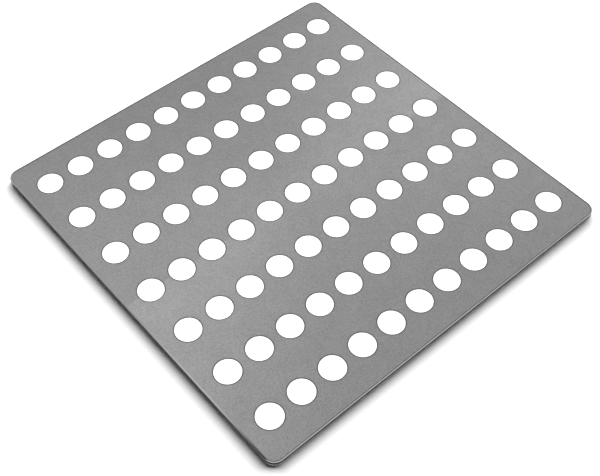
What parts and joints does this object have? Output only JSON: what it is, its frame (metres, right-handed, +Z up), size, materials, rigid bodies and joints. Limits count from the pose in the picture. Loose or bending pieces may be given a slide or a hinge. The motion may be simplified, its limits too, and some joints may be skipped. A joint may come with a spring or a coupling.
{
  "type": "queen excluder",
  "caption": "Flat metal queen excluder sheet with rows of round punched passages that worker bees get through and a queen doesn't.",
  "frame": {"origin": "middle of the sheet's underside", "axes": "+Z up out of the sheet's upper face, +X along the rows of passages, +Y across the rows"},
  "size_m": [0.084, 0.0844, 0.001],
  "materials": {
    "excluder_plate": "satin"
  },
  "bodies": {
    "root": {"excluder_plate": "excluder_plate"}
  },
  "joints": []
}
